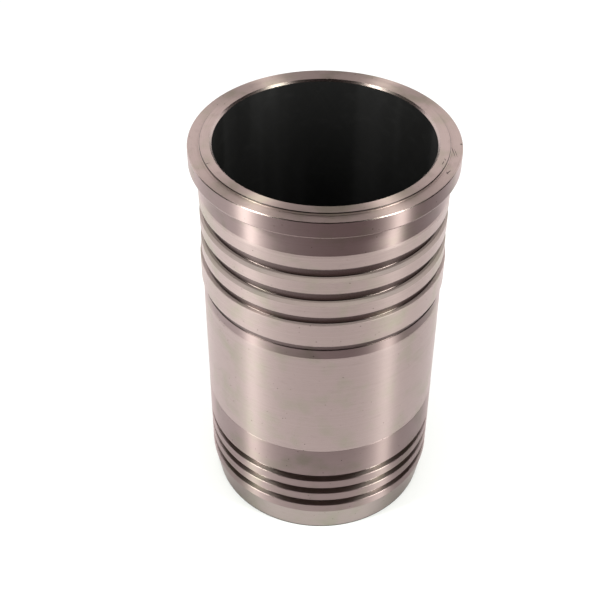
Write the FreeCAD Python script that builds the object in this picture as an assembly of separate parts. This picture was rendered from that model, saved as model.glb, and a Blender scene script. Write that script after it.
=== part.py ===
"""Wet cylinder liner for a heavy diesel engine, turned from one iron casting.

The liner stands on its lower end. The origin is the middle of that end and Z is
the bore axis. All sizes are in millimetres. The outline is one half section, drawn
corner by corner from the lower end up the outside and back down the bore, and
turned once round the axis.
"""
import FreeCAD, Part
import math
import os

# Bore
bore_diameter = 140.0
bore_top_bevel = 1.3
bore_bottom_bevel = 1.0

# Fire ring, the raised ring round the bore that bites into the head gasket
fire_ring_wall = 7.7
fire_ring_height = 1.5
fire_ring_edge = 0.3
fire_ring_root = 0.4

# Flange that the cylinder head clamps in the block's counterbore
flange_wall = 15.25
flange_thickness = 11.5
flange_top_bevel = 0.45
flange_lower_radius = 1.0

# Undercut that lets the block's sharp corner clear the flange root
seat_relief_depth = 0.45
seat_relief_height = 2.4
seat_relief_radius = 0.35

# Ground upper pilot under the flange
upper_pilot_wall = 9.65
upper_pilot_length = 17.2

# Turned bands and the coolant grooves between them
band_wall = 10.0
band_height = 11.95
band_lead = 1.6
top_band_height = 10.75
cooling_groove_count = 2
cooling_groove_height = 7.0
cooling_groove_depth = 3.6
cooling_groove_bevel = 1.45
cooling_groove_corner = 0.5
band_crown_radius = 2.0
lip_radius = 1.2

# Shallow groove and the wider collar below it
collar_groove_height = 4.75
collar_groove_depth = 1.8
collar_wall = 11.0
collar_height = 18.35
collar_edge = 0.35

# Narrow runout groove and the ground belt below it
runout_groove_height = 3.6
runout_groove_depth = 0.5
runout_groove_corner = 0.3
belt_wall = 9.7
belt_length = 7.05

# Long turned body that stands in the coolant
body_wall = 9.9
body_length = 86.3
body_lead = 1.5

# Ground lower pilot with its seal grooves
lower_pilot_wall = 10.0
lower_pilot_length = 24.75
lower_pilot_lead = 0.15
seal_groove_count = 3
seal_groove_width = 5.6
seal_groove_pitch = 12.85
seal_groove_depth = 4.3
seal_groove_edge = 0.3
seal_groove_corner = 0.6
lower_land_height = 6.75

# Lead-in taper that guides the seals into the block
lead_in_length = 21.1
lead_in_end_wall = 6.35
lower_edge_radius = 0.4

AXIS = FreeCAD.Vector(0, 0, 1)
ORIGIN = FreeCAD.Vector(0, 0, 0)

bore_radius = bore_diameter / 2


class Outline:
    """The half section of a turned part, as corners in radius and height."""

    def __init__(self):
        self.corners = []

    def sharp(self, radius, height):
        """Add a plain corner."""
        self.corners.append((FreeCAD.Vector(radius, 0, height), 0.0, False))

    def rounded(self, radius, height, size):
        """Add a corner with an arc of radius size."""
        self.corners.append((FreeCAD.Vector(radius, 0, height), size, True))

    def bevelled(self, radius, height, size):
        """Add a corner cut off size away along both sides."""
        self.corners.append((FreeCAD.Vector(radius, 0, height), size, False))

    def trimmed(self, number):
        """Return where a corner's arc or bevel starts and ends, and its middle point."""
        point, size, is_arc = self.corners[number]
        before = self.corners[number - 1][0]
        after = self.corners[(number + 1) % len(self.corners)][0]
        towards_before = (before - point).normalize()
        towards_after = (after - point).normalize()
        half_angle = towards_before.getAngle(towards_after) / 2
        setback = size / math.tan(half_angle) if is_arc else size
        start = point + towards_before * setback
        end = point + towards_after * setback
        if not is_arc:
            return start, None, end
        inwards = (towards_before + towards_after).normalize()
        middle = point + inwards * (size / math.sin(half_angle) - size)
        return start, middle, end

    def wire(self):
        """Join the corners into one closed wire of straight lines and arcs."""
        edges = []
        last_end = self.trimmed(len(self.corners) - 1)[2]
        for number, (point, size, is_arc) in enumerate(self.corners):
            start, middle, end = self.trimmed(number) if size > 0 else (point, None, point)
            edges.append(Part.LineSegment(last_end, start).toShape())
            if size > 0 and is_arc:
                edges.append(Part.Arc(start, middle, end).toShape())
            elif size > 0:
                edges.append(Part.LineSegment(start, end).toShape())
            last_end = end
        return Part.Wire(edges)


def add_lead_in(outline):
    """Lower end and the taper above it. Returns the height that is reached."""
    outline.rounded(bore_radius + lead_in_end_wall, 0, lower_edge_radius)
    outline.sharp(bore_radius + lower_pilot_wall, lead_in_length)
    return lead_in_length


def add_seal_grooves(outline, height):
    """Three square seal grooves cut in the lower pilot."""
    land = bore_radius + lower_pilot_wall
    floor = land - seal_groove_depth
    height += lower_land_height
    for number in range(seal_groove_count):
        lower_side = height + number * seal_groove_pitch
        upper_side = lower_side + seal_groove_width
        outline.rounded(land, lower_side, seal_groove_corner)
        outline.rounded(floor, lower_side, seal_groove_corner)
        outline.rounded(floor, upper_side, seal_groove_corner)
        outline.bevelled(land, upper_side, seal_groove_edge)
    return upper_side


def add_lower_pilot_and_body(outline, height):
    """Ground lower pilot, the long body and the ground belt on top of it."""
    height += lower_pilot_length
    outline.sharp(bore_radius + lower_pilot_wall, height - lower_pilot_lead)
    outline.sharp(bore_radius + body_wall, height)
    height += body_length
    outline.sharp(bore_radius + body_wall, height - body_lead)
    outline.sharp(bore_radius + belt_wall, height)
    return height + belt_length


def add_collar(outline, height):
    """Runout groove above the belt, the wide collar and the shallow groove over it."""
    runout_floor = bore_radius + belt_wall - runout_groove_depth
    outline.sharp(bore_radius + belt_wall, height)
    outline.rounded(runout_floor, height, runout_groove_corner)
    height += runout_groove_height
    outline.rounded(runout_floor, height, runout_groove_corner)
    outline.rounded(bore_radius + collar_wall, height, lip_radius)
    height += collar_height
    outline.bevelled(bore_radius + collar_wall, height, collar_edge)
    groove_floor = bore_radius + band_wall - collar_groove_depth
    outline.rounded(groove_floor, height, cooling_groove_corner)
    height += collar_groove_height
    outline.rounded(groove_floor, height, cooling_groove_corner)
    outline.rounded(bore_radius + band_wall, height, lip_radius)
    return height


def add_cooling_grooves(outline, height):
    """Turned bands with a coolant groove above each, up to the upper pilot."""
    band = bore_radius + band_wall
    floor = band - cooling_groove_depth
    for number in range(cooling_groove_count):
        height += band_height
        outline.rounded(band, height - cooling_groove_bevel, band_crown_radius)
        outline.sharp(band - cooling_groove_bevel, height)
        outline.rounded(floor, height, cooling_groove_corner)
        height += cooling_groove_height
        outline.rounded(floor, height, cooling_groove_corner)
        outline.rounded(band, height, lip_radius)
    height += top_band_height
    outline.sharp(band, height - band_lead)
    outline.sharp(bore_radius + upper_pilot_wall, height)
    return height + upper_pilot_length


def add_flange(outline, height):
    """Seat relief, flange and fire ring. Returns the height of the top."""
    pilot = bore_radius + upper_pilot_wall
    relief = pilot - seat_relief_depth
    outline.sharp(pilot, height - seat_relief_height)
    outline.rounded(relief, height - seat_relief_height + seat_relief_depth, seat_relief_radius)
    outline.rounded(relief, height, seat_relief_radius)
    outline.rounded(bore_radius + flange_wall, height, flange_lower_radius)
    height += flange_thickness
    outline.bevelled(bore_radius + flange_wall, height, flange_top_bevel)
    outline.rounded(bore_radius + fire_ring_wall, height, fire_ring_root)
    height += fire_ring_height
    outline.bevelled(bore_radius + fire_ring_wall, height, fire_ring_edge)
    return height


def liner_outline():
    """Close the half section: up the outside, over the top and down the bore."""
    outline = Outline()
    height = add_lead_in(outline)
    height = add_seal_grooves(outline, height)
    height = add_lower_pilot_and_body(outline, height)
    height = add_collar(outline, height)
    height = add_cooling_grooves(outline, height)
    height = add_flange(outline, height)
    outline.bevelled(bore_radius, height, bore_top_bevel)
    outline.bevelled(bore_radius, 0, bore_bottom_bevel)
    return outline


def make_liner():
    """Turn the half section once round the bore axis."""
    section = Part.Face(liner_outline().wire())
    return section.revolve(ORIGIN, AXIS, 360)


liner = make_liner()
os.makedirs("parts", exist_ok=True)
liner.exportStep("parts/cylinder_liner.step")
box = liner.optimalBoundingBox(False)
print("cylinder_liner", liner.ShapeType, "valid", liner.isValid(), "volume", round(liner.Volume / 1000, 2), "cm3")
print("size", round(box.XLength, 2), round(box.YLength, 2), round(box.ZLength, 2))
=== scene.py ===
"""Studio scene of a turned wet cylinder liner.

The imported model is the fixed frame. The liner's own mesh is turned here again from
its outline, fine enough for ground and turned metal to shine as it should, and stands
for the model's solid. All sizes are in metres, with Z up the bore axis.
"""
import math
from collections import namedtuple

import bpy
from mathutils import Matrix, Vector


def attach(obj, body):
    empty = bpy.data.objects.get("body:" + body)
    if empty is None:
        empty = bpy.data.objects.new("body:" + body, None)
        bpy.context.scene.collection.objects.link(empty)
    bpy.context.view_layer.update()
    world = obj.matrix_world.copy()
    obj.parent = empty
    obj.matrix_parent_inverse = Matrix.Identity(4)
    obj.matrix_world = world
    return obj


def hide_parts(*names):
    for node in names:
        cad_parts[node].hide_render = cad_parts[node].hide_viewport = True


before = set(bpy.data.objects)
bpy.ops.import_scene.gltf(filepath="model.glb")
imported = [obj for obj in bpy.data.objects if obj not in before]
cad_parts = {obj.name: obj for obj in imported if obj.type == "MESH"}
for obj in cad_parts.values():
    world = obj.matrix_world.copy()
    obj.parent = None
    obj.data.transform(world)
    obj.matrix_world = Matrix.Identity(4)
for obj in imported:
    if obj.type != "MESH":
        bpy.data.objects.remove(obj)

bl_info = {
    "name": "Turned cylinder liner",
    "version": (1, 0, 0),
    "blender": (4, 5, 0),
    "location": "3D View > Sidebar > Liner",
    "description": "Turns a wet cylinder liner from its outline and lights it in a small studio",
    "category": "Add Mesh",
}

LINER_NODE = "cylinder_liner"
LINER_PIECE = "liner_turned"
LINER_BODY = "root"

# Finishes, numbered as the outline marks them on each face. Edge is painted shade, and grooved and sealed
# are darkened with painted shade
TURNED = 0
GROUND = 1
FACED = 2
COATED = 3
GROOVED = 4
POLISHED = 5
BODY = 6
TAPERED = 7
SEALED = 8
SHELF = 9
RING_SIDE = 10
EDGE = 11

# Sorting of faces after turning: one that comes from a single corner takes the corner's
# finish, one between two corners takes the side's, and a sharp bend stays crisp
WELD = 1e-7
CORNER_SHARE = 0.25
ORDER_SLACK = 0.01
SHARP_ANGLE = math.radians(3.0)
FEWEST_ARC_FACES = 2

# Rings that the tool leaves. Coarse rings and breaks are counted in pitches of the fine ones
RING_PITCH = 0.00013
RING_TONE = 0.06
COARSE_RINGS = 9.0
RING_BREAKS = 4.0
BREAKS_ROUND = 14.0
SHINING_RINGS = 0.30, 0.45
COARSE_RELIEF = 2.0
RING_RELIEF = 0.0002
RING_BUMP = 0.006

# Patches and wipes of handling, and what they do to a metal
METAL_PATCH = 0.02
PATCH_RANGE = 0.50, 0.72
WIPE_RANGE = 0.56, 0.70
WIPE_DRAW = (1.0, 1.0, 3.5)
WIPES_TO_PATCH = 3.0
PATCH_DULLS = 0.035
WIPE_DARKENS = 0.05
OIL_FILM = (0.90, 1.0, 0.88)

# Pits scattered over the metal, in clusters
PIT_SPACING = 0.0045
PIT_SIZE = 0.0004
PIT_RIM = 0.6, 1.2
PIT_CLUSTERS = 45.0
CLUSTER_RANGE = 0.47, 0.56
PIT_DULLS = 0.2
PIT_DARKENS = 0.7

# Rim of a nick or scratch, as a share of its half size
MARK_RIM = 0.7, 1.1

# Honed and coated bore
HONING_PITCH = 0.0004
HONING_TWIST = 9.0
HONING_RANGE = 0.5, 0.75
HONING_BUMP = 0.03
HONING_RELIEF = 0.0004
BORE_PATCH = 0.045
BORE_WIPE_LIGHTENS = 0.3
COAT_ROUGHNESS = 0.40, 0.47
COAT_TONE = 0.9, 1.3
COAT_STRETCH = 0.5
COAT_SPECULAR = 0.32
COAT_TINT = (1.0, 0.93, 0.97, 1.0)
STREAK_DRAW = (1.0, 1.0, 0.06)
STREAK_SCALE = 48.0
STREAK_RANGE = 0.52, 0.75
STREAK_DULLS = 0.08
STREAK_LIGHTENS = 0.65

# The shine of a turned surface is stretched along the axis, a quarter turn from its rings
ALONG_AXIS = 0.25
AXIS = (0.0, 0.0, 1.0)

# Where the painted shadow on the floor begins and ends, by direction: -1 is straight in front, 0 beside
SHADE_IN_FRONT = -0.88, -0.66
SHADE_BESIDE = -0.55, -0.15

# Nicks and scratches on the top: middle, turn in degrees and half size
TOP_MARKS = (
    ((0.0842, -0.0022, 0.2813), 0.0, (0.0009, 0.0008, 0.002)),
    ((0.0785, -0.0105, 0.2813), -8.0, (0.00022, 0.0062, 0.001)),
    ((0.0800, -0.0120, 0.2813), -9.0, (0.00018, 0.0048, 0.001)),
    ((0.0742, -0.0326, 0.2813), 38.0, (0.0004, 0.0024, 0.001)),
    ((0.0733, -0.0335, 0.2813), -20.0, (0.0003, 0.0016, 0.001)),
    ((0.0712, -0.0252, 0.2828), 20.0, (0.0003, 0.0020, 0.001)),
    ((0.0727, -0.0215, 0.2828), -15.0, (0.0003, 0.0012, 0.001)),
    ((-0.0700, -0.0300, 0.2828), 60.0, (0.0003, 0.0018, 0.001)),
)

# One finish: its colour's name, roughness of its shining and dull rings, stretch of its
# shine, unevenness of its tone, how much it was handled and its own marks
Finish = namedtuple(
    "Finish", "name tint metallic fine dull stretched uneven handled marks",
    defaults=(RING_TONE, 1.0, ()))

METAL_FINISHES = {
    TURNED: Finish("Turned iron", "turned_colour", metallic=0.615, fine=0.391, dull=0.733,
                   stretched=0.827, uneven=0.10),
    GROUND: Finish("Ground iron", "ground_colour", metallic=1.0, fine=0.375, dull=0.40, stretched=0.99),
    FACED: Finish("Faced iron", "faced_colour", metallic=1.0, fine=0.425, dull=0.46,
                  stretched=0.99, uneven=0.16, handled=1.8, marks=TOP_MARKS),
    # Groove iron is bare iron darkened with painted shade, for the grooves, the undercut and the bands'
    # lower lips
    GROOVED: Finish("Groove iron", "groove_colour", metallic=1.0, fine=0.25, dull=0.31, stretched=0.95),
    POLISHED: Finish("Polished iron", "polished_colour", metallic=1.0, fine=0.26, dull=0.32,
                     stretched=0.7),
    BODY: Finish("Body iron", "body_colour", metallic=0.56, fine=0.365, dull=0.719,
                 stretched=0.973, uneven=0.10),
    TAPERED: Finish("Taper iron", "taper_colour", metallic=0.85, fine=0.37, dull=0.46,
                    stretched=0.60, uneven=0.10),
    # Seal groove iron is darkened a little with painted shade
    SEALED: Finish("Seal groove iron", "seal_colour", metallic=1.0, fine=0.30, dull=0.35,
                   stretched=0.985),
    SHELF: Finish("Shelf iron", "shelf_colour", metallic=0.06, fine=0.60, dull=0.70,
                  stretched=0.5, uneven=0.10),
    RING_SIDE: Finish("Ring side iron", "faced_colour", metallic=0.80, fine=0.34, dull=0.40,
                      stretched=0.9),
    # Edge iron's near black colour is painted shade, for dark lines at the fire ring's edge, over the
    # foot and at the seal grooves' upper edges
    EDGE: Finish("Edge iron", "edge_colour", metallic=1.0, fine=0.34, dull=0.40, stretched=0.9),
}


def length(name, description, default):
    """A size in metres."""
    return bpy.props.FloatProperty(
        name=name, description=description, default=default, min=0.0,
        precision=5, unit="LENGTH", subtype="DISTANCE")


def angle(name, description, degrees):
    """An angle, given in degrees."""
    return bpy.props.FloatProperty(
        name=name, description=description, default=math.radians(degrees), subtype="ANGLE")


def count(name, description, default, least):
    """A whole number."""
    return bpy.props.IntProperty(name=name, description=description, default=default, min=least)


def level(name, description, default):
    """A plain number."""
    return bpy.props.FloatProperty(name=name, description=description, default=default, precision=4)


def colour(name, description, default):
    """A linear colour."""
    return bpy.props.FloatVectorProperty(
        name=name, description=description, default=default, min=0.0, max=1.0,
        size=3, subtype="COLOR")


class LinerTopSizes(bpy.types.PropertyGroup):
    """Bore, fire ring, flange and upper pilot."""

    bore_radius: length("Bore radius", "Half the bore's diameter", 0.070)
    bore_top_bevel: length("Bore top bevel", "Bevel at the top of the bore", 0.0013)
    bore_bottom_bevel: length("Bore bottom bevel", "Bevel at the bottom of the bore", 0.001)
    fire_ring_wall: length("Fire ring wall", "Ring's outer radius beyond the bore", 0.0077)
    fire_ring_height: length("Fire ring height", "How far the ring stands over the flange", 0.0015)
    fire_ring_edge: length("Fire ring edge", "Bevel at the ring's outer edge", 0.0003)
    fire_ring_root: length("Fire ring root", "Radius where the ring meets the flange", 0.0004)
    flange_wall: length("Flange wall", "Flange's outer radius beyond the bore", 0.01525)
    flange_thickness: length("Flange thickness", "Height of the flange's rim", 0.0115)
    flange_top_bevel: length("Flange top bevel", "Bevel at the rim's upper edge", 0.00045)
    flange_lower_radius: length("Flange lower radius", "Radius at the rim's lower edge", 0.001)
    relief_depth: length("Relief depth", "Undercut below the flange", 0.00045)
    relief_height: length("Relief height", "Height of the undercut", 0.0024)
    relief_radius: length("Relief radius", "Corner radius of the undercut", 0.00035)
    pilot_wall: length("Upper pilot wall", "Pilot's radius beyond the bore", 0.00965)
    pilot_length: length("Upper pilot length", "Height of the pilot and its undercut", 0.0172)


class LinerBandSizes(bpy.types.PropertyGroup):
    """Turned bands, coolant grooves, collar and belt."""

    band_wall: length("Band wall", "Bands' radius beyond the bore", 0.010)
    band_height: length("Band height", "Height of a band under a coolant groove", 0.01195)
    band_lead: length("Band lead", "Taper on top of the uppermost band", 0.0016)
    top_band_height: length("Top band height", "Height of the uppermost band", 0.01075)
    groove_height: length("Groove height", "Height of a coolant groove", 0.007)
    groove_depth: length("Groove depth", "Depth of a coolant groove", 0.0036)
    groove_bevel: length("Groove bevel", "Bevel on a groove's lower side", 0.00145)
    groove_corner: length("Groove corner", "Radius at a groove's floor", 0.0005)
    band_crown: length("Band crown", "Radius between a bevel and its band", 0.002)
    lip: length("Lip", "Radius at the lower edge of a band", 0.0012)
    groove_count: count("Coolant grooves", "Number of deep coolant grooves", 2, least=1)
    collar_groove_height: length("Collar groove height", "Groove over the collar", 0.00475)
    collar_groove_depth: length("Collar groove depth", "Depth of the groove over the collar", 0.0018)
    collar_wall: length("Collar wall", "Collar's radius beyond the bore", 0.011)
    collar_height: length("Collar height", "Height of the collar", 0.01835)
    collar_edge: length("Collar edge", "Bevel at the collar's upper edge", 0.00035)
    runout_height: length("Runout height", "Narrow groove under the collar", 0.0036)
    runout_depth: length("Runout depth", "Depth of the narrow groove", 0.0005)
    runout_corner: length("Runout corner", "Radius in the narrow groove", 0.0003)
    belt_wall: length("Belt wall", "Belt's radius beyond the bore", 0.0097)
    belt_length: length("Belt length", "Height of the ground belt", 0.00705)


class LinerLowerSizes(bpy.types.PropertyGroup):
    """Body, lower pilot, seal grooves and lead-in taper."""

    body_wall: length("Body wall", "Body's radius beyond the bore", 0.0099)
    body_length: length("Body length", "Height of the long body", 0.0863)
    body_lead: length("Body lead", "Taper on top of the body", 0.0015)
    pilot_wall: length("Lower pilot wall", "Lower pilot's radius beyond the bore", 0.010)
    pilot_length: length("Lower pilot length", "Height of the lower pilot", 0.02475)
    pilot_lead: length("Lower pilot lead", "Taper on top of the lower pilot", 0.00015)
    seal_groove_count: count("Seal grooves", "Number of seal grooves", 3, least=1)
    seal_groove_width: length("Seal groove width", "Height of a seal groove", 0.0056)
    seal_groove_pitch: length("Seal groove pitch", "From one seal groove to the next", 0.01285)
    seal_groove_depth: length("Seal groove depth", "Depth of a seal groove", 0.0043)
    seal_groove_edge: length("Seal groove edge", "Bevel at a seal groove's upper side", 0.0003)
    seal_groove_corner: length("Seal groove corner", "Radii in a seal groove", 0.0006)
    land_height: length("Lower land height", "Land between taper and first groove", 0.00675)
    lead_in_length: length("Lead-in length", "Height of the taper at the lower end", 0.0211)
    lead_in_wall: length("Lead-in wall", "Wall at the lower end", 0.00635)
    lower_edge: length("Lower edge", "Radius at the foot of the taper", 0.0004)


class LinerFinishes(bpy.types.PropertyGroup):
    """Colours and fineness of the liner's surfaces; some colours are darkened with painted shade."""

    turned_colour: colour("Turned iron", "Satin turned bands and collar", (0.403, 0.312, 0.298))
    body_colour: colour("Body iron", "Long body between collar and lower pilot", (0.384, 0.295, 0.284))
    taper_colour: colour("Taper iron", "Lead-in taper and foot", (0.335, 0.270, 0.254))
    ground_colour: colour("Ground iron", "Ground rim, pilots and belt", (0.372, 0.282, 0.273))
    faced_colour: colour("Faced iron", "Faced top of flange and fire ring", (0.349, 0.263, 0.243))
    coated_colour: colour("Coated bore", "Dark coat in the bore", (0.0098, 0.0096, 0.0095))
    # Groove and seal groove colours are bare iron darkened with painted shade in the hollows
    groove_colour: colour("Groove iron", "Bare iron in the grooves", (0.176, 0.134, 0.128))
    seal_colour: colour("Seal groove iron", "Dark iron in the seal grooves", (0.31, 0.25, 0.235))
    shelf_colour: colour("Shelf iron", "Upper edges of the bands", (0.218, 0.165, 0.152))
    polished_colour: colour("Polished iron", "Bevels round the top", (0.335, 0.262, 0.246))
    # Painted shade: a near black colour for dark lines at the fire ring's edge, the seal grooves' upper
    # edges and over the foot, and how tall the lines at the foot and the ring are
    edge_colour: colour("Edge iron", "Dark edges of ring, seal grooves and foot", (0.055, 0.044, 0.042))
    foot_shade_line: length("Foot shade line", "Height of the dark line over the foot's edge", 0.0007)
    ring_shade_line: length("Ring shade line", "Height of the dark line under the fire ring's edge", 0.0003)
    steps_round: count("Steps round", "Faces once round the liner", 360, least=24)
    arc_step: angle("Arc step", "Turn of one face along a rounded corner", 15.0)


class StageSettings(bpy.types.PropertyGroup):
    """Camera, lights and floor."""

    camera_place: bpy.props.FloatVectorProperty(
        name="Camera place", description="Where the camera stands",
        default=(0.0, -0.6199, 0.6853), size=3, subtype="TRANSLATION", unit="LENGTH")
    camera_pitch: angle("Camera pitch", "How far the camera looks down", 40.7925)
    camera_yaw: angle("Camera yaw", "How far the camera turns to the right", -1.3812)
    camera_roll: angle("Camera roll", "How far the camera leans", 0.219)
    camera_view: angle("Camera view", "Width of the camera's view", 28.391)
    floor_radius: length("Floor radius", "Half the floor's width", 6.0)
    floor_colour: colour("Floor", "Pale floor", (0.86, 0.86, 0.86))
    floor_front: level("Floor front", "Where the floor is dullest to the metal", -0.5713)
    floor_back: level("Floor back", "Where the floor is brightest to the metal", 0.0738)
    floor_slant: level("Floor slant", "How much brighter the floor is to the left", -0.5666)
    floor_dull: colour("Floor dull", "The floor's front to the metal", (0.2813, 0.1981, 0.2071))
    floor_bright: colour("Floor bright", "The floor's back to the metal", (1.0, 1.0, 1.0))
    floor_gain: level("Floor gain", "Brightness of the floor to the metal", 1.4429)
    room_front: level("Room front", "Direction in which the room is dullest", 0.36)
    room_back: level("Room back", "Direction in which the room is brightest", 0.48)
    room_slant: level("Room slant", "How much brighter the room is to the left", -0.0551)
    room_dull: colour("Room dull", "The room's front to the metal", (0.0305, 0.0229, 0.0229))
    room_bright: colour("Room bright", "The room's back to the metal", (1.0, 1.0, 1.0))
    room_gain: level("Room gain", "Brightness of the room to the metal", 1.7786)
    room_light: level("Room light", "Even light on the floor", 0.92)
    light_aim: length("Light aim", "Height that the soft boxes face", 0.15)
    light_distance: length("Light distance", "From the liner to a soft box", 1.1)
    light_width: length("Light width", "Width of a soft box", 0.195)
    light_height: length("Light height", "Height of a soft box", 1.000)
    light_elevation: angle("Light elevation", "How high the soft boxes stand", 32.63)
    left_azimuth: angle("Left azimuth", "How far round the left soft box stands", 60.3)
    right_azimuth: angle("Right azimuth", "How far round the right soft box stands", 59.2)
    left_power: level("Left power", "Watts of the left soft box", 10.96)
    right_power: level("Right power", "Watts of the right soft box", 10.64)
    light_colour: colour("Light colour", "Colour of the soft boxes", (0.945, 1.0, 0.94))
    # The floor's shade round the foot is a painted shadow in its colour, seen only by the metal
    shade_start: length("Shade start", "How far from the axis the floor's shade begins to fade", 0.085)
    shade_end: length("Shade end", "How far from the axis the floor's shade ends", 0.16)
    shade_light: level("Shade light", "Share of light left where the liner shades the floor", 0.5)
    camera_near: length("Camera near", "Nearest place that the camera sees", 0.01)


# One corner of the outline: finish is that of the side from it to the next corner
Corner = namedtuple("Corner", "radius height size is_round finish own_finish")


class Outline:
    """The half section of the liner, as corners in radius and height."""

    def __init__(self):
        self.corners = []
        self.finish = TURNED

    def add(self, radius, height, size, is_round, own_finish):
        """Add a corner, with the finish now in use where it has none of its own."""
        if own_finish is None:
            own_finish = self.finish
        self.corners.append(Corner(radius, height, size, is_round, self.finish, own_finish))

    def sharp(self, radius, height):
        """Add a plain corner."""
        self.add(radius, height, 0.0, False, None)

    def rounded(self, radius, height, size, own_finish=None):
        """Add a corner with an arc of radius size."""
        self.add(radius, height, size, True, own_finish)

    def bevelled(self, radius, height, size, own_finish=None):
        """Add a corner cut off size away along both sides."""
        self.add(radius, height, size, False, own_finish)

    def arc_count(self, number, arc_step):
        """How many faces the arc or bevel at a corner has."""
        corner = self.corners[number]
        if not corner.is_round:
            return 1
        before = self.corners[number - 1]
        after = self.corners[(number + 1) % len(self.corners)]
        into = Vector((corner.radius - before.radius, corner.height - before.height))
        out = Vector((after.radius - corner.radius, after.height - corner.height))
        return max(FEWEST_ARC_FACES, math.ceil(into.angle(out) / arc_step))


def add_lower_end(outline, lower, finishes, bore_radius):
    """Foot, lead-in taper and the seal grooves above it. Returns the height reached."""
    land = bore_radius + lower.pilot_wall
    floor = land - lower.seal_groove_depth
    foot = bore_radius + lower.lead_in_wall
    outline.finish = TAPERED
    outline.sharp((bore_radius + foot) / 2, 0.0)
    # A near black band of painted shade runs round the foot's edge and a little way up the taper
    outline.finish = EDGE
    outline.rounded(foot, 0.0, lower.lower_edge)
    outline.finish = TAPERED
    foot_shade_share = (lower.lower_edge + finishes.foot_shade_line) / lower.lead_in_length
    outline.sharp(foot + (land - foot) * foot_shade_share, lower.lead_in_length * foot_shade_share)
    outline.finish = GROUND
    outline.sharp(land, lower.lead_in_length)
    height = lower.lead_in_length + lower.land_height
    for number in range(lower.seal_groove_count):
        lower_side = height + number * lower.seal_groove_pitch
        upper_side = lower_side + lower.seal_groove_width
        outline.finish = SEALED
        outline.rounded(land, lower_side, lower.seal_groove_corner, own_finish=GROUND)
        outline.rounded(floor, lower_side, lower.seal_groove_corner)
        outline.rounded(floor, upper_side, lower.seal_groove_corner)
        outline.finish = GROUND
        # The bevel at each seal groove's upper edge is darkened with painted shade
        outline.bevelled(land, upper_side, lower.seal_groove_edge, own_finish=EDGE)
    return upper_side


def add_body(outline, lower, bands, bore_radius, height):
    """Lower pilot, body and the ground belt on top of it. Returns the height reached."""
    body = bore_radius + lower.body_wall
    belt = bore_radius + bands.belt_wall
    height += lower.pilot_length
    outline.sharp(bore_radius + lower.pilot_wall, height - lower.pilot_lead)
    outline.finish = BODY
    outline.sharp(body, height)
    height += lower.body_length
    outline.sharp(body, height - lower.body_lead)
    outline.finish = GROUND
    outline.sharp(belt, height)
    return height + bands.belt_length


def add_collar(outline, bands, bore_radius, height):
    """Runout groove, collar and the groove over it. Returns the height reached."""
    belt = bore_radius + bands.belt_wall
    collar = bore_radius + bands.collar_wall
    runout_floor = belt - bands.runout_depth
    groove_floor = bore_radius + bands.band_wall - bands.collar_groove_depth
    # The runout, the collar groove and the lips under the collar and band take the groove colour,
    # darkened with painted shade
    outline.finish = GROOVED
    outline.sharp(belt, height)
    outline.rounded(runout_floor, height, bands.runout_corner)
    height += bands.runout_height
    outline.rounded(runout_floor, height, bands.runout_corner)
    outline.finish = TURNED
    outline.rounded(collar, height, bands.lip, own_finish=GROOVED)
    height += bands.collar_height
    outline.bevelled(collar, height, bands.collar_edge)
    outline.finish = GROOVED
    outline.rounded(groove_floor, height, bands.groove_corner)
    height += bands.collar_groove_height
    outline.rounded(groove_floor, height, bands.groove_corner)
    outline.finish = TURNED
    outline.rounded(bore_radius + bands.band_wall, height, bands.lip, own_finish=GROOVED)
    return height


def add_bands(outline, bands, top, bore_radius, height):
    """Bands and coolant grooves up to the upper pilot. Returns the height reached."""
    band = bore_radius + bands.band_wall
    floor = band - bands.groove_depth
    for _ in range(bands.groove_count):
        height += bands.band_height
        outline.finish = SHELF
        outline.rounded(band, height - bands.groove_bevel, bands.band_crown)
        outline.sharp(band - bands.groove_bevel, height)
        # The coolant grooves and each band's lower lip take the groove colour, darkened with painted
        # shade
        outline.finish = GROOVED
        outline.rounded(floor, height, bands.groove_corner)
        height += bands.groove_height
        outline.rounded(floor, height, bands.groove_corner)
        outline.finish = TURNED
        outline.rounded(band, height, bands.lip, own_finish=GROOVED)
    height += bands.top_band_height
    outline.sharp(band, height - bands.band_lead)
    outline.finish = GROUND
    outline.sharp(bore_radius + top.pilot_wall, height)
    return height + top.pilot_length


def add_top(outline, lower, top, finishes, height):
    """Undercut, flange, fire ring and bore, back to where the outline began."""
    bore = top.bore_radius
    pilot = bore + top.pilot_wall
    relief = pilot - top.relief_depth
    rim = bore + top.flange_wall
    ring = bore + top.fire_ring_wall
    # The undercut under the flange takes the groove colour, darkened with painted shade
    outline.finish = GROOVED
    outline.sharp(pilot, height - top.relief_height)
    outline.rounded(relief, height - top.relief_height + top.relief_depth, top.relief_radius)
    outline.rounded(relief, height, top.relief_radius)
    outline.finish = GROUND
    outline.rounded(rim, height, top.flange_lower_radius, own_finish=POLISHED)
    height += top.flange_thickness
    outline.finish = FACED
    outline.bevelled(rim, height, top.flange_top_bevel, own_finish=POLISHED)
    outline.finish = RING_SIDE
    outline.rounded(ring, height, top.fire_ring_root)
    height += top.fire_ring_height
    # Painted shade darkens the fire ring's edge bevel and a thin line of its side under it
    outline.finish = EDGE
    outline.sharp(ring, height - top.fire_ring_edge - finishes.ring_shade_line)
    outline.finish = FACED
    outline.bevelled(ring, height, top.fire_ring_edge, own_finish=EDGE)
    outline.finish = COATED
    outline.bevelled(bore, height, top.bore_top_bevel, own_finish=POLISHED)
    outline.finish = TURNED
    outline.bevelled(bore, 0.0, top.bore_bottom_bevel)
    outline.sharp((bore + bore + lower.lead_in_wall) / 2, 0.0)


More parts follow.
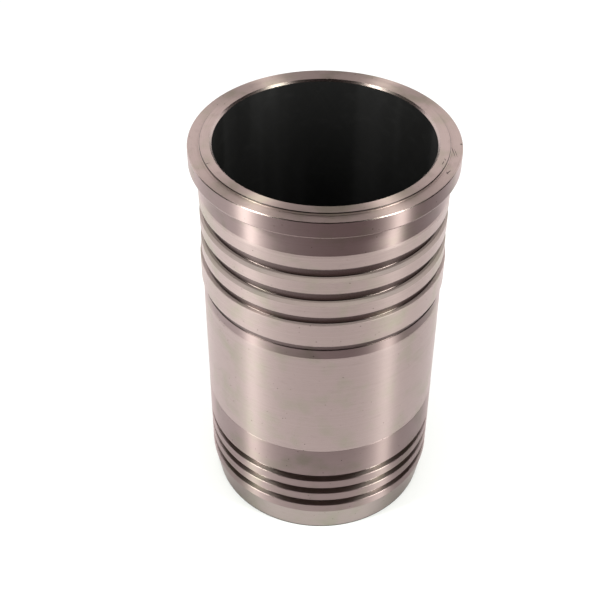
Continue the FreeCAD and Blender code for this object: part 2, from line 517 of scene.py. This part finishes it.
def liner_outline(scene):
    """The whole outline, from the middle of the foot up the outside and down the bore."""
    top = scene.liner_top
    bands = scene.liner_bands
    lower = scene.liner_lower
    finishes = scene.liner_finishes
    outline = Outline()
    height = add_lower_end(outline, lower, finishes, top.bore_radius)
    height = add_body(outline, lower, bands, top.bore_radius, height)
    height = add_collar(outline, bands, top.bore_radius, height)
    height = add_bands(outline, bands, top, top.bore_radius, height)
    add_top(outline, lower, top, finishes, height)
    return outline


def outline_mesh(outline, arc_step):
    """A line of points, one for each corner, with what the turning needs to know."""
    corners = outline.corners
    mesh = bpy.data.meshes.new("liner outline")
    points = [(corner.radius, 0.0, corner.height) for corner in corners]
    lines = [(number, number + 1) for number in range(len(corners) - 1)]
    mesh.from_pydata(points, lines, [])
    rows = {
        "order": ("FLOAT", [float(number) for number in range(len(corners))]),
        "corner_size": ("FLOAT", [corner.size for corner in corners]),
        "arc_faces": ("INT", [outline.arc_count(number, arc_step) for number in range(len(corners))]),
        "is_round": ("FLOAT", [float(corner.is_round) for corner in corners]),
        "side_finish": ("INT", [corner.finish for corner in corners]),
        "corner_finish": ("INT", [corner.own_finish for corner in corners]),
    }
    for name, (kind, values) in rows.items():
        mesh.attributes.new(name, kind, "POINT").data.foreach_set("value", values)
    return mesh


class Tree:
    """Adds and joins nodes in a node tree."""

    def __init__(self, tree):
        self.tree = tree

    def add(self, kind, links=None, **settings):
        """Add a node, set it up, and link or set its inputs by name or number."""
        node = self.tree.nodes.new(kind)
        for name, value in settings.items():
            setattr(node, name, value)
        for key, source in (links or {}).items():
            socket = self.socket(node, key)
            if isinstance(source, bpy.types.NodeSocket):
                self.tree.links.new(source, socket)
            else:
                socket.default_value = source
        return node

    def give(self, kind, links=None, **settings):
        """Add a node and return its first output."""
        return self.add(kind, links, **settings).outputs[0]

    def socket(self, node, key):
        """An input by its number, or the one in use that has a name."""
        if isinstance(key, int):
            return node.inputs[key]
        return next(item for item in node.inputs if item.name == key and item.enabled)

    def maths(self, operation, first, second=0.0):
        """One sum of two values or outputs."""
        return self.give("ShaderNodeMath", {0: first, 1: second}, operation=operation)

    def vector(self, operation, first, second):
        """One sum of two vectors, or of a vector and a scale."""
        key = "Scale" if operation == "SCALE" else 1
        return self.give("ShaderNodeVectorMath", {0: first, key: second}, operation=operation)

    def mix(self, share, first, second):
        """A colour between two colours."""
        node = self.add("ShaderNodeMix", {"Factor": share, "A": first, "B": second}, data_type="RGBA")
        return next(item for item in node.outputs if item.type == "RGBA")


def named(tree, name, kind="FLOAT"):
    """A named attribute's output."""
    node = tree.add("GeometryNodeInputNamedAttribute", {"Name": name}, data_type=kind)
    return node.outputs["Attribute"]


def store(tree, shape, name, value, kind="FLOAT", domain="POINT"):
    """Keep a value under a name at each point or face of a shape."""
    return tree.give("GeometryNodeStoreNamedAttribute", {
        "Geometry": shape, "Name": name, "Value": value}, data_type=kind, domain=domain)


def turning_tree(materials):
    """Geometry nodes that round an outline's corners and turn it once round Z."""
    group = bpy.data.node_groups.new("Turn the outline", "GeometryNodeTree")
    sockets = group.interface
    sockets.new_socket("Outline", in_out="INPUT", socket_type="NodeSocketGeometry")
    sockets.new_socket("Steps Round", in_out="INPUT", socket_type="NodeSocketInt")
    for material in materials:
        sockets.new_socket(material.name, in_out="INPUT", socket_type="NodeSocketMaterial")
    sockets.new_socket("Liner", in_out="OUTPUT", socket_type="NodeSocketGeometry")
    tree = Tree(group)
    given = tree.add("NodeGroupInput").outputs
    steps = given["Steps Round"]
    curve = tree.give("GeometryNodeMeshToCurve", {"Mesh": given["Outline"]})
    curve = tree.give("GeometryNodeFilletCurve", {
        "Curve": curve, "Radius": named(tree, "corner_size"), "Count": named(tree, "arc_faces", "INT"),
        "Limit Radius": False}, mode="POLY")
    place = tree.add("ShaderNodeSeparateXYZ", {0: tree.give("GeometryNodeInputPosition")})
    curve = store(tree, curve, "from_axis", place.outputs["X"])
    curve = store(tree, curve, "height", place.outputs["Z"])
    circle = tree.give("GeometryNodeCurvePrimitiveCircle", {"Resolution": steps, "Radius": 1.0})
    step = tree.maths("DIVIDE", math.tau, steps)
    turn = tree.maths("MULTIPLY", tree.give("GeometryNodeInputIndex"), step)
    circle = store(tree, circle, "turn", turn)
    swept = tree.give("GeometryNodeCurveToMesh", {"Curve": circle, "Profile Curve": curve})
    spot = tree.give("ShaderNodeCombineXYZ", {
        "X": tree.maths("MULTIPLY", named(tree, "from_axis"), tree.maths("COSINE", named(tree, "turn"))),
        "Y": tree.maths("MULTIPLY", named(tree, "from_axis"), tree.maths("SINE", named(tree, "turn"))),
        "Z": named(tree, "height")})
    swept = tree.give("GeometryNodeSetPosition", {"Geometry": swept, "Position": spot})
    swept = tree.give("GeometryNodeFlipFaces", {"Mesh": swept})
    swept = mark_finishes(tree, swept, given["Outline"])
    swept = tree.give("GeometryNodeMergeByDistance", {"Geometry": swept, "Distance": WELD})
    swept = mark_edges(tree, swept)
    swept = tree.give("GeometryNodeRealizeInstances", {"Geometry": swept})
    for number, material in enumerate(materials):
        chosen = tree.give("FunctionNodeCompare", {
            "A": named(tree, "finish", "INT"), "B": number}, data_type="INT", operation="GREATER_EQUAL")
        swept = tree.give("GeometryNodeSetMaterial", {
            "Geometry": swept, "Selection": chosen, "Material": given[material.name]})
    tree.add("NodeGroupOutput", {"Liner": swept})
    return group


def mark_finishes(tree, swept, outline):
    """Give each face the finish of the outline's side or corner that made it."""
    order = tree.give("GeometryNodeFieldOnDomain", {
        "Value": named(tree, "order")}, data_type="FLOAT", domain="FACE")
    corner = tree.maths("FLOOR", tree.maths("ADD", order, ORDER_SLACK))
    on_side = tree.maths("GREATER_THAN", tree.maths("SUBTRACT", order, corner), CORNER_SHARE)
    found = []
    for name in ("side_finish", "corner_finish"):
        found.append(tree.give("GeometryNodeSampleIndex", {
            "Geometry": outline, "Value": named(tree, name, "INT"), "Index": corner},
            data_type="INT", domain="POINT"))
    chosen = tree.give("GeometryNodeSwitch", {
        "Switch": on_side, "True": found[0], "False": found[1]}, input_type="INT")
    return store(tree, swept, "finish", chosen, "INT", "FACE")


def mark_edges(tree, swept):
    """Shade faces smooth, and keep plain corners and bevels crisp."""
    swept = tree.give("GeometryNodeSetShadeSmooth", {
        "Geometry": swept, "Shade Smooth": True}, domain="FACE")
    bend = tree.add("GeometryNodeInputMeshEdgeAngle").outputs["Unsigned Angle"]
    round_edge = tree.give("GeometryNodeFieldOnDomain", {
        "Value": named(tree, "is_round")}, data_type="FLOAT", domain="EDGE")
    crisp = tree.maths("MULTIPLY", tree.maths("GREATER_THAN", bend, SHARP_ANGLE),
                       tree.maths("LESS_THAN", round_edge, CORNER_SHARE))
    return tree.give("GeometryNodeSetShadeSmooth", {
        "Geometry": swept, "Selection": crisp, "Shade Smooth": False}, domain="EDGE")


def effect(name, takes, gives):
    """A shader node group with named inputs and outputs, its tree and what it is given."""
    group = bpy.data.node_groups.new(name, "ShaderNodeTree")
    kinds = {float: "NodeSocketFloat", tuple: "NodeSocketVector"}
    for label, value in takes.items():
        socket = group.interface.new_socket(label, in_out="INPUT", socket_type=kinds[type(value)])
        socket.default_value = value
    for label in gives:
        group.interface.new_socket(label, in_out="OUTPUT", socket_type="NodeSocketFloat")
    tree = Tree(group)
    return group, tree, tree.add("NodeGroupInput").outputs


def along_outline(tree, place):
    """How far a point lies along the outline: its height plus its distance from the axis."""
    sides = tree.add("ShaderNodeSeparateXYZ", {0: place})
    flat = tree.give("ShaderNodeCombineXYZ", {"X": sides.outputs["X"], "Y": sides.outputs["Y"]})
    far = tree.add("ShaderNodeVectorMath", {0: flat}, operation="LENGTH").outputs["Value"]
    return sides, tree.maths("ADD", far, sides.outputs["Z"])


def rings(tree, along, pitch, detail=1.0):
    """Noise that changes only along the outline, so it makes rings round the axis."""
    return tree.give("ShaderNodeTexNoise", {
        "W": tree.maths("DIVIDE", along, pitch), "Scale": 1.0, "Detail": detail,
        "Roughness": 0.6}, noise_dimensions="1D")


def stretch(tree, value, low, high, to_low=0.0, to_high=1.0):
    """Spread a range of values to another range, with its ends held."""
    return tree.give("ShaderNodeMapRange", {
        "Value": value, "From Min": low, "From Max": high, "To Min": to_low, "To Max": to_high})


def turning_marks():
    """Rings that the tool leaves: a fine one, a coarse one, and the share that shines."""
    group, tree, given = effect("Turning marks", {
        "Place": (0.0, 0.0, 0.0), "Pitch": RING_PITCH, "Unevenness": RING_TONE},
        ("Shine", "Tone", "Height"))
    sides, along = along_outline(tree, given["Place"])
    fine = rings(tree, along, given["Pitch"])
    coarse = rings(tree, along, tree.maths("MULTIPLY", given["Pitch"], COARSE_RINGS), detail=2.0)
    breaks = tree.maths("MULTIPLY", given["Pitch"], RING_BREAKS)
    broken = tree.give("ShaderNodeTexNoise", {
        "Vector": tree.give("ShaderNodeCombineXYZ", {
            "X": tree.maths("MULTIPLY", sides.outputs["X"], BREAKS_ROUND),
            "Y": tree.maths("MULTIPLY", sides.outputs["Y"], BREAKS_ROUND),
            "Z": tree.maths("DIVIDE", along, breaks)}),
        "Scale": 1.0, "Detail": 2.0}, noise_dimensions="3D")
    shine = stretch(tree, fine, *SHINING_RINGS)
    uneven = tree.maths("SUBTRACT", tree.maths("ADD", coarse, broken), 1.0)
    tone = tree.give("ShaderNodeMath", {
        0: uneven, 1: given["Unevenness"], 2: 1.0}, operation="MULTIPLY_ADD")
    height = tree.maths("ADD", fine, tree.maths("MULTIPLY", coarse, COARSE_RELIEF))
    tree.add("NodeGroupOutput", {"Shine": shine, "Tone": tone, "Height": height})
    return group


def handling():
    """Patches that fingers, cloths and oil leave."""
    group, tree, given = effect("Handling", {
        "Place": (0.0, 0.0, 0.0), "Patch": METAL_PATCH}, ("Dull", "Wipe"))
    spread = tree.maths("DIVIDE", 1.0, given["Patch"])
    patch = tree.give("ShaderNodeTexNoise", {
        "Vector": given["Place"], "Scale": spread, "Detail": 4.0, "Roughness": 0.55})
    wipe = tree.give("ShaderNodeTexNoise", {
        "Vector": tree.vector("MULTIPLY", given["Place"], WIPE_DRAW),
        "Scale": tree.maths("MULTIPLY", spread, WIPES_TO_PATCH), "Detail": 3.0, "Distortion": 0.6})
    tree.add("NodeGroupOutput", {
        "Dull": stretch(tree, patch, *PATCH_RANGE), "Wipe": stretch(tree, wipe, *WIPE_RANGE)})
    return group


def honing():
    """Crossed helical marks of a honed bore."""
    group, tree, given = effect("Honing", {
        "Place": (0.0, 0.0, 0.0), "Pitch": HONING_PITCH, "Twist": HONING_TWIST}, ("Lines",))
    sides = tree.add("ShaderNodeSeparateXYZ", {0: given["Place"]})
    lines = None
    for way in (1.0, -1.0):
        twist = tree.maths("MULTIPLY", tree.maths("MULTIPLY", sides.outputs["Z"], given["Twist"]), way)
        turned = tree.give("ShaderNodeVectorRotate", {
            "Vector": given["Place"], "Angle": twist}, rotation_type="Z_AXIS")
        flat = tree.vector("MULTIPLY", turned, (1.0, 1.0, 0.0))
        noise = tree.give("ShaderNodeTexNoise", {
            "Vector": flat, "Scale": tree.maths("DIVIDE", 1.0, given["Pitch"]), "Detail": 1.0})
        lines = noise if lines is None else tree.maths("MAXIMUM", lines, noise)
    tree.add("NodeGroupOutput", {"Lines": stretch(tree, lines, *HONING_RANGE)})
    return group


def specks():
    """Tiny scattered pits, in loose clusters."""
    group, tree, given = effect("Specks", {
        "Place": (0.0, 0.0, 0.0), "Spacing": PIT_SPACING, "Size": PIT_SIZE}, ("Speck",))
    cell = tree.add("ShaderNodeTexVoronoi", {
        "Vector": given["Place"], "Scale": tree.maths("DIVIDE", 1.0, given["Spacing"])})
    far = tree.maths("MULTIPLY", cell.outputs["Distance"], given["Spacing"])
    spot = tree.maths("SUBTRACT", 1.0, stretch(tree, tree.maths("DIVIDE", far, given["Size"]), *PIT_RIM))
    cluster = tree.give("ShaderNodeTexNoise", {
        "Vector": given["Place"], "Scale": PIT_CLUSTERS, "Detail": 1.0})
    tree.add("NodeGroupOutput", {
        "Speck": tree.maths("MULTIPLY", spot, stretch(tree, cluster, *CLUSTER_RANGE))})
    return group


def small_mark():
    """One mark of a given size at a given place, such as a nick or a scratch."""
    group, tree, given = effect("Small mark", {
        "Place": (0.0, 0.0, 0.0), "Centre": (0.0, 0.0, 0.0), "Turn": (0.0, 0.0, 0.0),
        "Size": (0.001, 0.001, 0.001)}, ("Mark",))
    away = tree.vector("SUBTRACT", given["Place"], given["Centre"])
    turned = tree.give("ShaderNodeVectorRotate", {
        "Vector": away, "Rotation": given["Turn"]}, rotation_type="EULER_XYZ")
    share = tree.vector("DIVIDE", turned, given["Size"])
    far = tree.add("ShaderNodeVectorMath", {0: share}, operation="LENGTH").outputs["Value"]
    tree.add("NodeGroupOutput", {"Mark": stretch(tree, far, *MARK_RIM, to_low=1.0, to_high=0.0)})
    return group


class Effects:
    """The shared node groups, and how a material places them."""

    def __init__(self):
        self.turning = turning_marks()
        self.handling = handling()
        self.honing = honing()
        self.specks = specks()
        self.mark = small_mark()

    def place(self, tree, group, links):
        """Put a group in a material and return its outputs."""
        return tree.add("ShaderNodeGroup", links, node_tree=group).outputs


def blank_material(name):
    """A material with an empty node tree, and its object coordinates."""
    material = bpy.data.materials.new(name)
    material.use_nodes = True
    material.node_tree.nodes.clear()
    tree = Tree(material.node_tree)
    return material, tree, tree.add("ShaderNodeTexCoord").outputs["Object"]


def turned_material(effects, finish, tint):
    """A turned or ground metal: fine shining rings among duller ones, with signs of handling."""
    material, tree, place = blank_material(finish.name)
    marks = effects.place(tree, effects.turning, {
        "Place": place, "Pitch": RING_PITCH, "Unevenness": finish.uneven})
    hands = effects.place(tree, effects.handling, {"Place": place, "Patch": METAL_PATCH})
    pits = effects.place(tree, effects.specks, {"Place": place, "Spacing": PIT_SPACING, "Size": PIT_SIZE})
    pit = pits["Speck"]
    for centre, turn, size in finish.marks:
        mark = effects.place(tree, effects.mark, {
            "Place": place, "Centre": centre, "Turn": (0.0, 0.0, math.radians(turn)), "Size": size})
        pit = tree.maths("MAXIMUM", pit, mark["Mark"])
    rough = stretch(tree, marks["Shine"], 0.0, 1.0, finish.dull, finish.fine)
    rough = tree.maths("ADD", rough, tree.maths("MULTIPLY", hands["Dull"], PATCH_DULLS * finish.handled))
    rough = tree.maths("ADD", rough, tree.maths("MULTIPLY", pit, PIT_DULLS))
    wiped = tree.maths("MULTIPLY", hands["Wipe"], WIPE_DARKENS * finish.handled)
    tone = tree.maths("SUBTRACT", marks["Tone"], wiped)
    clear = tree.maths("SUBTRACT", 1.0, tree.maths("MULTIPLY", pit, PIT_DARKENS))
    tone = tree.maths("MULTIPLY", tone, clear)
    oiled = tuple(share * film for share, film in zip(tint, OIL_FILM))
    metal = tree.mix(hands["Dull"], (*tint, 1.0), (*oiled, 1.0))
    raised = tree.give("ShaderNodeBump", {
        "Strength": RING_BUMP, "Distance": RING_RELIEF, "Height": marks["Height"]})
    shader = tree.give("ShaderNodeBsdfPrincipled", {
        "Base Color": tree.vector("SCALE", metal, tone), "Metallic": finish.metallic, "Roughness": rough,
        "Anisotropic": finish.stretched, "Anisotropic Rotation": ALONG_AXIS, "Normal": raised,
        "Tangent": tree.vector("CROSS_PRODUCT", AXIS, place)})
    tree.add("ShaderNodeOutputMaterial", {"Surface": shader})
    return material


def bore_material(effects, tint):
    """The dark coat on the honed bore, with faint upright streaks."""
    material, tree, place = blank_material("Coated bore")
    lines = effects.place(tree, effects.honing, {
        "Place": place, "Pitch": HONING_PITCH, "Twist": HONING_TWIST})["Lines"]
    hands = effects.place(tree, effects.handling, {"Place": place, "Patch": BORE_PATCH})
    streak = tree.give("ShaderNodeTexNoise", {
        "Vector": tree.vector("MULTIPLY", place, STREAK_DRAW), "Scale": STREAK_SCALE, "Detail": 2.0})
    streak = stretch(tree, streak, *STREAK_RANGE)
    rough = stretch(tree, lines, 0.0, 1.0, *COAT_ROUGHNESS)
    rough = tree.maths("ADD", rough, tree.maths("MULTIPLY", streak, STREAK_DULLS))
    tone = stretch(tree, lines, 0.0, 1.0, *COAT_TONE)
    tone = tree.maths("ADD", tone, tree.maths("MULTIPLY", hands["Wipe"], BORE_WIPE_LIGHTENS))
    tone = tree.maths("ADD", tone, tree.maths("MULTIPLY", streak, STREAK_LIGHTENS))
    raised = tree.give("ShaderNodeBump", {
        "Strength": HONING_BUMP, "Distance": HONING_RELIEF, "Height": lines})
    shader = tree.give("ShaderNodeBsdfPrincipled", {
        "Base Color": tree.vector("SCALE", (*tint,), tone), "Roughness": rough,
        "Specular IOR Level": COAT_SPECULAR, "Specular Tint": COAT_TINT,
        "Anisotropic": COAT_STRETCH, "Anisotropic Rotation": ALONG_AXIS, "Normal": raised,
        "Tangent": tree.vector("CROSS_PRODUCT", AXIS, place)})
    tree.add("ShaderNodeOutputMaterial", {"Surface": shader})
    return material


def liner_materials(finishes):
    """The finishes' materials, in the order of their numbers."""
    effects = Effects()
    materials = {COATED: bore_material(effects, finishes.coated_colour)}
    for number, finish in METAL_FINISHES.items():
        materials[number] = turned_material(effects, finish, getattr(finishes, finish.tint))
    return [materials[number] for number in sorted(materials)]


def plain_mesh(piece):
    """Turn a piece's evaluated shape into its own mesh and drop its modifiers."""
    graph = bpy.context.evaluated_depsgraph_get()
    seen = piece.evaluated_get(graph)
    mesh = bpy.data.meshes.new_from_object(seen, preserve_all_data_layers=True, depsgraph=graph)
    piece.modifiers.clear()
    old = piece.data
    piece.data = mesh
    bpy.data.meshes.remove(old)
    mesh.name = piece.name
    return mesh


def mesh_volume(mesh):
    """The volume a closed mesh holds, negative where its faces point inwards."""
    total = 0.0
    mesh.calc_loop_triangles()
    for triangle in mesh.loop_triangles:
        first, second, third = (mesh.vertices[number].co for number in triangle.vertices)
        total += first.dot(second.cross(third))
    return total / 6


class LINER_OT_turn(bpy.types.Operator):
    """Turn the liner from its outline"""

    bl_idname = "liner.turn"
    bl_label = "Turn the liner"

    def execute(self, context):
        scene = context.scene
        finishes = scene.liner_finishes
        materials = liner_materials(finishes)
        mesh = outline_mesh(liner_outline(scene), finishes.arc_step)
        piece = bpy.data.objects.new(LINER_PIECE, mesh)
        scene.collection.objects.link(piece)
        turning = piece.modifiers.new("Turning", "NODES")
        turning.node_group = turning_tree(materials)
        sockets = {item.name: item.identifier for item in turning.node_group.interface.items_tree}
        turning[sockets["Steps Round"]] = finishes.steps_round
        for material in materials:
            turning[sockets[material.name]] = material
        evening = piece.modifiers.new("Even shading", "WEIGHTED_NORMAL")
        evening.keep_sharp = True
        if mesh_volume(plain_mesh(piece)) < 0:
            raise RuntimeError("the liner's faces point inwards")
        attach(piece, LINER_BODY)
        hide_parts(LINER_NODE)
        return {"FINISHED"}


def add_camera(scene, stage):
    """Put the camera where the photograph was taken from."""
    pitch = stage.camera_pitch
    yaw = stage.camera_yaw
    forward = Vector((math.sin(yaw) * math.cos(pitch), math.cos(yaw) * math.cos(pitch), -math.sin(pitch)))
    right = Vector((math.cos(yaw), -math.sin(yaw), 0.0))
    up = right.cross(forward)
    level_share = math.cos(stage.camera_roll)
    lean_share = math.sin(stage.camera_roll)
    side = right * level_share + up * lean_share
    top = up * level_share - right * lean_share
    turn = Matrix((side, top, -forward)).transposed().to_4x4()
    lens = bpy.data.cameras.new("Camera")
    lens.sensor_fit = "HORIZONTAL"
    lens.angle = stage.camera_view
    lens.clip_start = stage.camera_near
    camera = bpy.data.objects.new("Camera", lens)
    camera.matrix_world = Matrix.Translation(stage.camera_place) @ turn
    scene.collection.objects.link(camera)
    scene.camera = camera


def add_light(scene, stage, name, azimuth, power):
    """A soft box round the liner, turned to face its middle."""
    aim = Vector((0.0, 0.0, stage.light_aim))
    flat = math.cos(stage.light_elevation)
    rise = math.sin(stage.light_elevation)
    way = Vector((math.sin(azimuth) * flat, -math.cos(azimuth) * flat, rise))
    light = bpy.data.lights.new(name, "AREA")
    light.shape = "RECTANGLE"
    light.size = stage.light_width
    light.size_y = stage.light_height
    light.energy = power
    light.color = stage.light_colour
    lamp = bpy.data.objects.new(name, light)
    lamp.location = aim + way * stage.light_distance
    lamp.rotation_euler = way.to_track_quat("Z", "Y").to_euler()
    lamp.visible_camera = False
    scene.collection.objects.link(lamp)


def surround(tree, place, reach, slant, dull, bright, gain):
    """Light that goes from dull in front of the liner to bright behind it."""
    sides = tree.add("ShaderNodeSeparateXYZ", {0: place})
    across = tree.maths("ADD", sides.outputs["Y"], tree.maths("MULTIPLY", sides.outputs["X"], slant))
    share = tree.give("ShaderNodeMapRange", {
        "Value": across, "From Min": reach[0], "From Max": reach[1]},
        interpolation_type="SMOOTHSTEP")
    bright = tree.vector("SCALE", (*bright,), gain)
    return tree.mix(share, (*dull, 1.0), bright)


def floor_shade(tree, place, stage):
    """A painted shadow of the liner on the floor round the foot, and where the metal sees it."""
    far = tree.add("ShaderNodeVectorMath", {0: place}, operation="LENGTH").outputs["Value"]
    near = stretch(tree, far, stage.shade_start, stage.shade_end, 1.0, 0.0)
    ahead = tree.maths("DIVIDE", tree.add("ShaderNodeSeparateXYZ", {0: place}).outputs["Y"], far)
    shade = tree.maths("MAXIMUM", stretch(tree, ahead, *SHADE_IN_FRONT, 1.0, stage.shade_light),
                       stretch(tree, ahead, *SHADE_BESIDE, stage.shade_light, 1.0))
    return near, shade


def add_floor(scene, stage):
    """A wide pale floor. The metal sees it as a painted glow, dull in front and bright behind, with a
    painted shadow at the foot.
    """
    reach = stage.floor_radius
    mesh = bpy.data.meshes.new("floor")
    corners = [(-reach, -reach, 0.0), (reach, -reach, 0.0), (reach, reach, 0.0), (-reach, reach, 0.0)]
    mesh.from_pydata(corners, [], [(0, 1, 2, 3)])
    floor = bpy.data.objects.new("floor", mesh)
    scene.collection.objects.link(floor)
    material, tree, place = blank_material("Pale floor")
    material.cycles.emission_sampling = "NONE"
    pale = tree.give("ShaderNodeBsdfDiffuse", {"Color": (*stage.floor_colour, 1.0)})
    # What the metal sees of the floor is a painted glow in place of the lit floor
    glow = surround(tree, place, (stage.floor_front, stage.floor_back), stage.floor_slant,
                    stage.floor_dull, stage.floor_bright, stage.floor_gain)
    seen = tree.give("ShaderNodeEmission", {"Color": glow})
    # Round the foot the metal sees the floor with a painted shadow of the liner in its colour
    near, shade = floor_shade(tree, place, stage)
    shaded = tree.give("ShaderNodeBsdfDiffuse", {
        "Color": tree.vector("SCALE", (*stage.floor_colour,), shade)})
    seen = tree.give("ShaderNodeMixShader", {0: near, 1: seen, 2: shaded})
    ray = tree.add("ShaderNodeLightPath").outputs["Is Glossy Ray"]
    mixed = tree.give("ShaderNodeMixShader", {0: ray, 1: pale, 2: seen})
    tree.add("ShaderNodeOutputMaterial", {"Surface": mixed})
    mesh.materials.append(material)


def add_world(scene, stage):
    """A pale surround that the metal sees dull in front and bright behind."""
    world = bpy.data.worlds.new("Studio")
    world.use_nodes = True
    world.node_tree.nodes.clear()
    world.cycles.sampling_method = "NONE"
    tree = Tree(world.node_tree)
    glow = surround(tree, tree.add("ShaderNodeTexCoord").outputs["Generated"],
                    (stage.room_front, stage.room_back), stage.room_slant,
                    stage.room_dull, stage.room_bright, stage.room_gain)
    ray = tree.add("ShaderNodeLightPath").outputs["Is Glossy Ray"]
    even = (stage.room_light, stage.room_light, stage.room_light, 1.0)
    back = tree.give("ShaderNodeBackground", {"Color": tree.mix(ray, even, glow)})
    tree.add("ShaderNodeOutputWorld", {"Surface": back})
    scene.world = world


class LINER_OT_stage(bpy.types.Operator):
    """Set up floor, lights and camera"""

    bl_idname = "liner.stage"
    bl_label = "Set the stage"

    def execute(self, context):
        scene = context.scene
        stage = scene.liner_stage
        add_camera(scene, stage)
        add_floor(scene, stage)
        add_world(scene, stage)
        add_light(scene, stage, "Left soft box", -stage.left_azimuth, stage.left_power)
        add_light(scene, stage, "Right soft box", stage.right_azimuth, stage.right_power)
        scene.view_settings.view_transform = "Standard"
        return {"FINISHED"}


class LINER_PT_panel(bpy.types.Panel):
    """Liner tools"""

    bl_idname = "LINER_PT_panel"
    bl_label = "Cylinder liner"
    bl_space_type = "VIEW_3D"
    bl_region_type = "UI"
    bl_category = "Liner"

    def draw(self, context):
        for operator in OPERATORS:
            self.layout.operator(operator.bl_idname)
        for name in SETTINGS:
            group = getattr(context.scene, name)
            box = self.layout.box()
            for entry in group.bl_rna.properties.keys():
                if entry not in ("rna_type", "name"):
                    box.prop(group, entry)


SETTINGS = {
    "liner_top": LinerTopSizes,
    "liner_bands": LinerBandSizes,
    "liner_lower": LinerLowerSizes,
    "liner_finishes": LinerFinishes,
    "liner_stage": StageSettings,
}
OPERATORS = (LINER_OT_turn, LINER_OT_stage)


def register():
    """Register the classes and hang the settings on the scene."""
    for group in (*SETTINGS.values(), *OPERATORS, LINER_PT_panel):
        bpy.utils.register_class(group)
    for name, group in SETTINGS.items():
        setattr(bpy.types.Scene, name, bpy.props.PointerProperty(type=group))


def unregister():
    """Take the settings and classes away again."""
    for name in SETTINGS:
        delattr(bpy.types.Scene, name)
    for group in reversed((*SETTINGS.values(), *OPERATORS, LINER_PT_panel)):
        bpy.utils.unregister_class(group)


def main():
    """Build everything in order."""
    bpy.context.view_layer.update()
    register()
    bpy.ops.liner.turn()
    bpy.ops.liner.stage()


if __name__ == "__main__":
    main()
